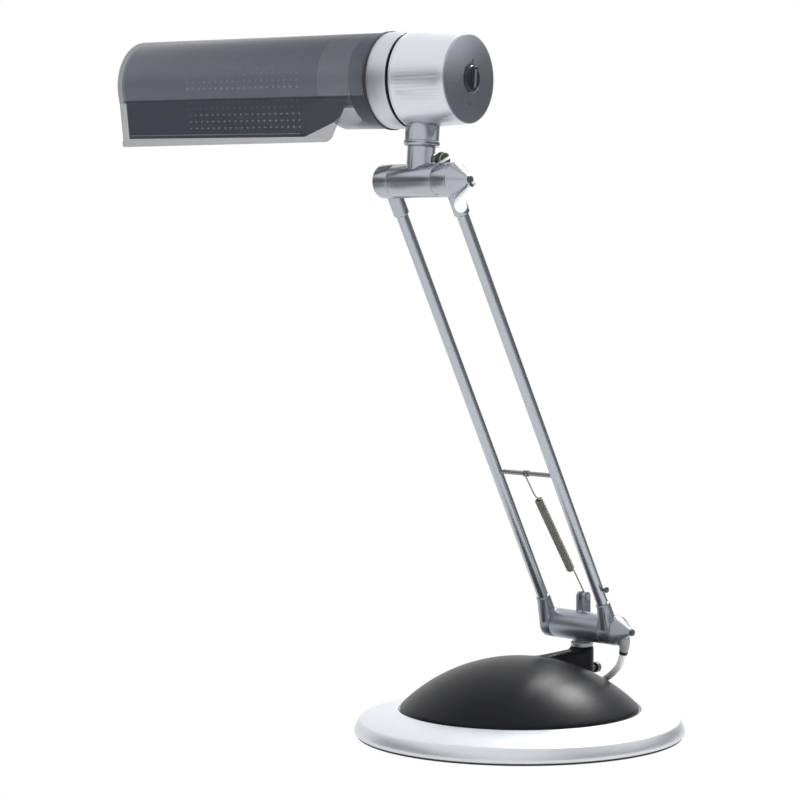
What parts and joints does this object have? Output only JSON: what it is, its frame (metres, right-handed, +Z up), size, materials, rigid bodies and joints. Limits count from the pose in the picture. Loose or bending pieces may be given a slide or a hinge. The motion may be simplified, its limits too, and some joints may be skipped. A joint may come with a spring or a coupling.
{
  "type": "desk lamp",
  "caption": "Desk lamp on a weighted round base, with a sprung arm of parallel tubes and a slim level head whose perforated shade turns about the lamp tube.",
  "frame": {"origin": "centre of the base disc on the table top", "axes": "+Z up; +X towards the switch end of the head; -Y towards the side the head overhangs"},
  "size_m": [0.3608, 0.3413, 0.4857],
  "materials": {
    "satin_steel": "satin brushed",
    "iron": "rough cast",
    "zinc_steel": "plain zinc plated",
    "rubber": "matt",
    "black_plastic": "matt with a soft sheen",
    "grey_paint": "metallic paint",
    "blue_grey_tube": "satin anodised",
    "dark_steel": "darkened",
    "silver_paint": "satin silver",
    "smoked_plastic": "translucent smoked grey",
    "grey_plastic": "matt",
    "reflector_foil": "bright",
    "white_plastic": "smooth white",
    "soft_grey": "soft light grey",
    "board": "circuit board",
    "white_glass": "frosted white",
    "pin_brass": "plated"
  },
  "bodies": {
    "base": {"base_disc": "satin_steel", "base_weight": "iron", "base_plate": "zinc_steel", "foot_ring": "rubber", "base_screws": "zinc_steel", "dome_cover": "black_plastic", "pivot_socket": "zinc_steel", "mains_cord": "white_plastic", "mains_coil": "white_plastic", "mains_plug": "white_plastic", "plug_pins": "pin_brass"},
    "lock_screw": {"lock_screw": "zinc_steel"},
    "swivel": {"swivel_spindle": "zinc_steel", "spindle_washer": "zinc_steel", "spindle_nut": "zinc_steel", "swivel_casting": "grey_paint", "lower_axle": "zinc_steel", "lower_friction_washers": "black_plastic", "lower_cone": "grey_paint", "lower_grommet": "soft_grey", "spring_pin": "zinc_steel", "cord_boot": "soft_grey", "boot_ring": "black_plastic"},
    "arms": {"lower_knuckle_left": "grey_paint", "lower_knuckle_right": "grey_paint", "upper_knuckle_left": "grey_paint", "upper_knuckle_right": "grey_paint", "arm_tube_left": "blue_grey_tube", "arm_tube_right": "blue_grey_tube", "crossbar": "dark_steel", "joint_end_caps": "rubber", "upper_axle": "zinc_steel", "upper_cone": "grey_paint", "upper_grommet": "soft_grey", "arm_lead": "white_plastic", "balance_spring": "zinc_steel"},
    "arm_screw": {"arm_screw": "zinc_steel"},
    "head_bracket": {"head_tee": "grey_paint", "upper_friction_washers": "black_plastic", "stem_clip": "white_plastic", "stem_lead": "white_plastic"},
    "clamp_screw": {"neck_clamp_screw": "dark_steel"},
    "head": {"head_housing": "silver_paint", "head_sleeve": "grey_paint", "sleeve_nut": "zinc_steel", "head_cap": "black_plastic", "switch_body": "black_plastic", "ballast_board": "board", "holder_plate": "grey_plastic", "lamp_holder": "white_plastic", "lamp_base": "white_plastic", "lamp_tube": "white_glass"},
    "switch_knob": {"switch_knob": "black_plastic", "knob_pointer": "zinc_steel"},
    "shade": {"shade_ring": "silver_paint", "shade_seal": "grey_plastic", "lamp_shade": "smoked_plastic", "reflector": "reflector_foil"}
  },
  "joints": [
    {"name": "base_swivel", "type": "hinge", "parent": "base", "child": "swivel", "pos_m": [0, 0.0655, 0.0685], "axis": [0, 0, 1], "range_deg": [-60, 80], "deforming": ["mains_cord"]},
    {"name": "lock_screw_turn", "type": "hinge", "parent": "base", "child": "lock_screw", "pos_m": [0, 0.0655, 0.037], "axis": [0, 1, 0], "range_deg": [-180, 180]},
    {"name": "arm_tilt", "type": "hinge", "parent": "swivel", "child": "arms", "pos_m": [0, 0.0655, 0.0685], "axis": [1, 0, 0], "range_deg": [-27, 33], "deforming": ["balance_spring"]},
    {"name": "arm_screw_turn", "type": "hinge", "parent": "arms", "child": "arm_screw", "pos_m": [0.0285, 0.04973, 0.09918], "axis": [1, 0, 0], "range_deg": [-180, 180]},
    {"name": "head_tilt", "type": "hinge", "parent": "arms", "child": "head_bracket", "pos_m": [0, -0.09618, 0.38309], "axis": [1, 0, 0], "range_deg": [-30, 60]},
    {"name": "clamp_screw_turn", "type": "hinge", "parent": "head_bracket", "child": "clamp_screw", "pos_m": [0, -0.0859, 0.39671], "axis": [1, 0, 0], "range_deg": [-180, 180]},
    {"name": "head_swivel", "type": "hinge", "parent": "head_bracket", "child": "head", "pos_m": [0, -0.09618, 0.38309], "axis": [0, 0.0906, 0.9959], "range_deg": [-60, 60]},
    {"name": "shade_turn", "type": "hinge", "parent": "head", "child": "shade", "pos_m": [0, -0.0901, 0.44981], "axis": [0.9845, 0.1746, -0.0159], "range_deg": [-60, 60]},
    {"name": "switch_turn", "type": "hinge", "parent": "head", "child": "switch_knob", "pos_m": [0, -0.0901, 0.44981], "axis": [0.9845, 0.1746, -0.0159], "range_deg": [0, 90]}
  ]
}
